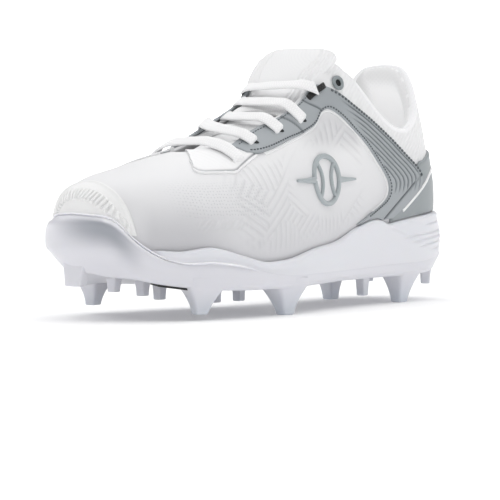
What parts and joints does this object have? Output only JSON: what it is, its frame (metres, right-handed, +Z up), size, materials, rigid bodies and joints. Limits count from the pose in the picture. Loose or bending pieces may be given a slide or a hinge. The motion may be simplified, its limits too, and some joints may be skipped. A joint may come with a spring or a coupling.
{
  "type": "softball cleat",
  "caption": "Low-cut left softball cleat with a moulded studded plate, foam midsole, knit upper, grey lace stays and heel strap, and flat laces.",
  "frame": {"origin": "on the floor under the centre of the shoe's box, at the stud tips", "axes": "+X along the shoe towards the toe, +Y towards the lateral side, +Z up"},
  "size_m": [0.288, 0.0996, 0.138],
  "materials": {
    "knit_upper": "fused film over knit, matt",
    "grey_film": "embossed film, satin",
    "plate": "moulded, satin",
    "foam": "moulded foam, matt",
    "toe_film": "moulded film, satin",
    "tongue_knit": "padded knit",
    "footbed": "knit over foam",
    "lace_weave": "flat woven",
    "webbing": "woven",
    "dark_rubber": "matt",
    "grey_rubber": "moulded, satin"
  },
  "bodies": {
    "root": {"upper": "knit_upper", "toe_cap": "toe_film", "eyestay_lateral": "grey_film", "eyestay_medial": "grey_film", "heel_counter": "grey_film", "side_badge": "grey_rubber", "tongue": "tongue_knit", "insole": "footbed", "midsole": "foam", "outsole": "plate", "forefoot_pad": "dark_rubber", "lace": "lace_weave", "lace_loop_lateral": "webbing", "lace_loop_medial": "webbing", "grommet_lateral": "grey_rubber", "grommet_medial": "grey_rubber"}
  },
  "joints": []
}
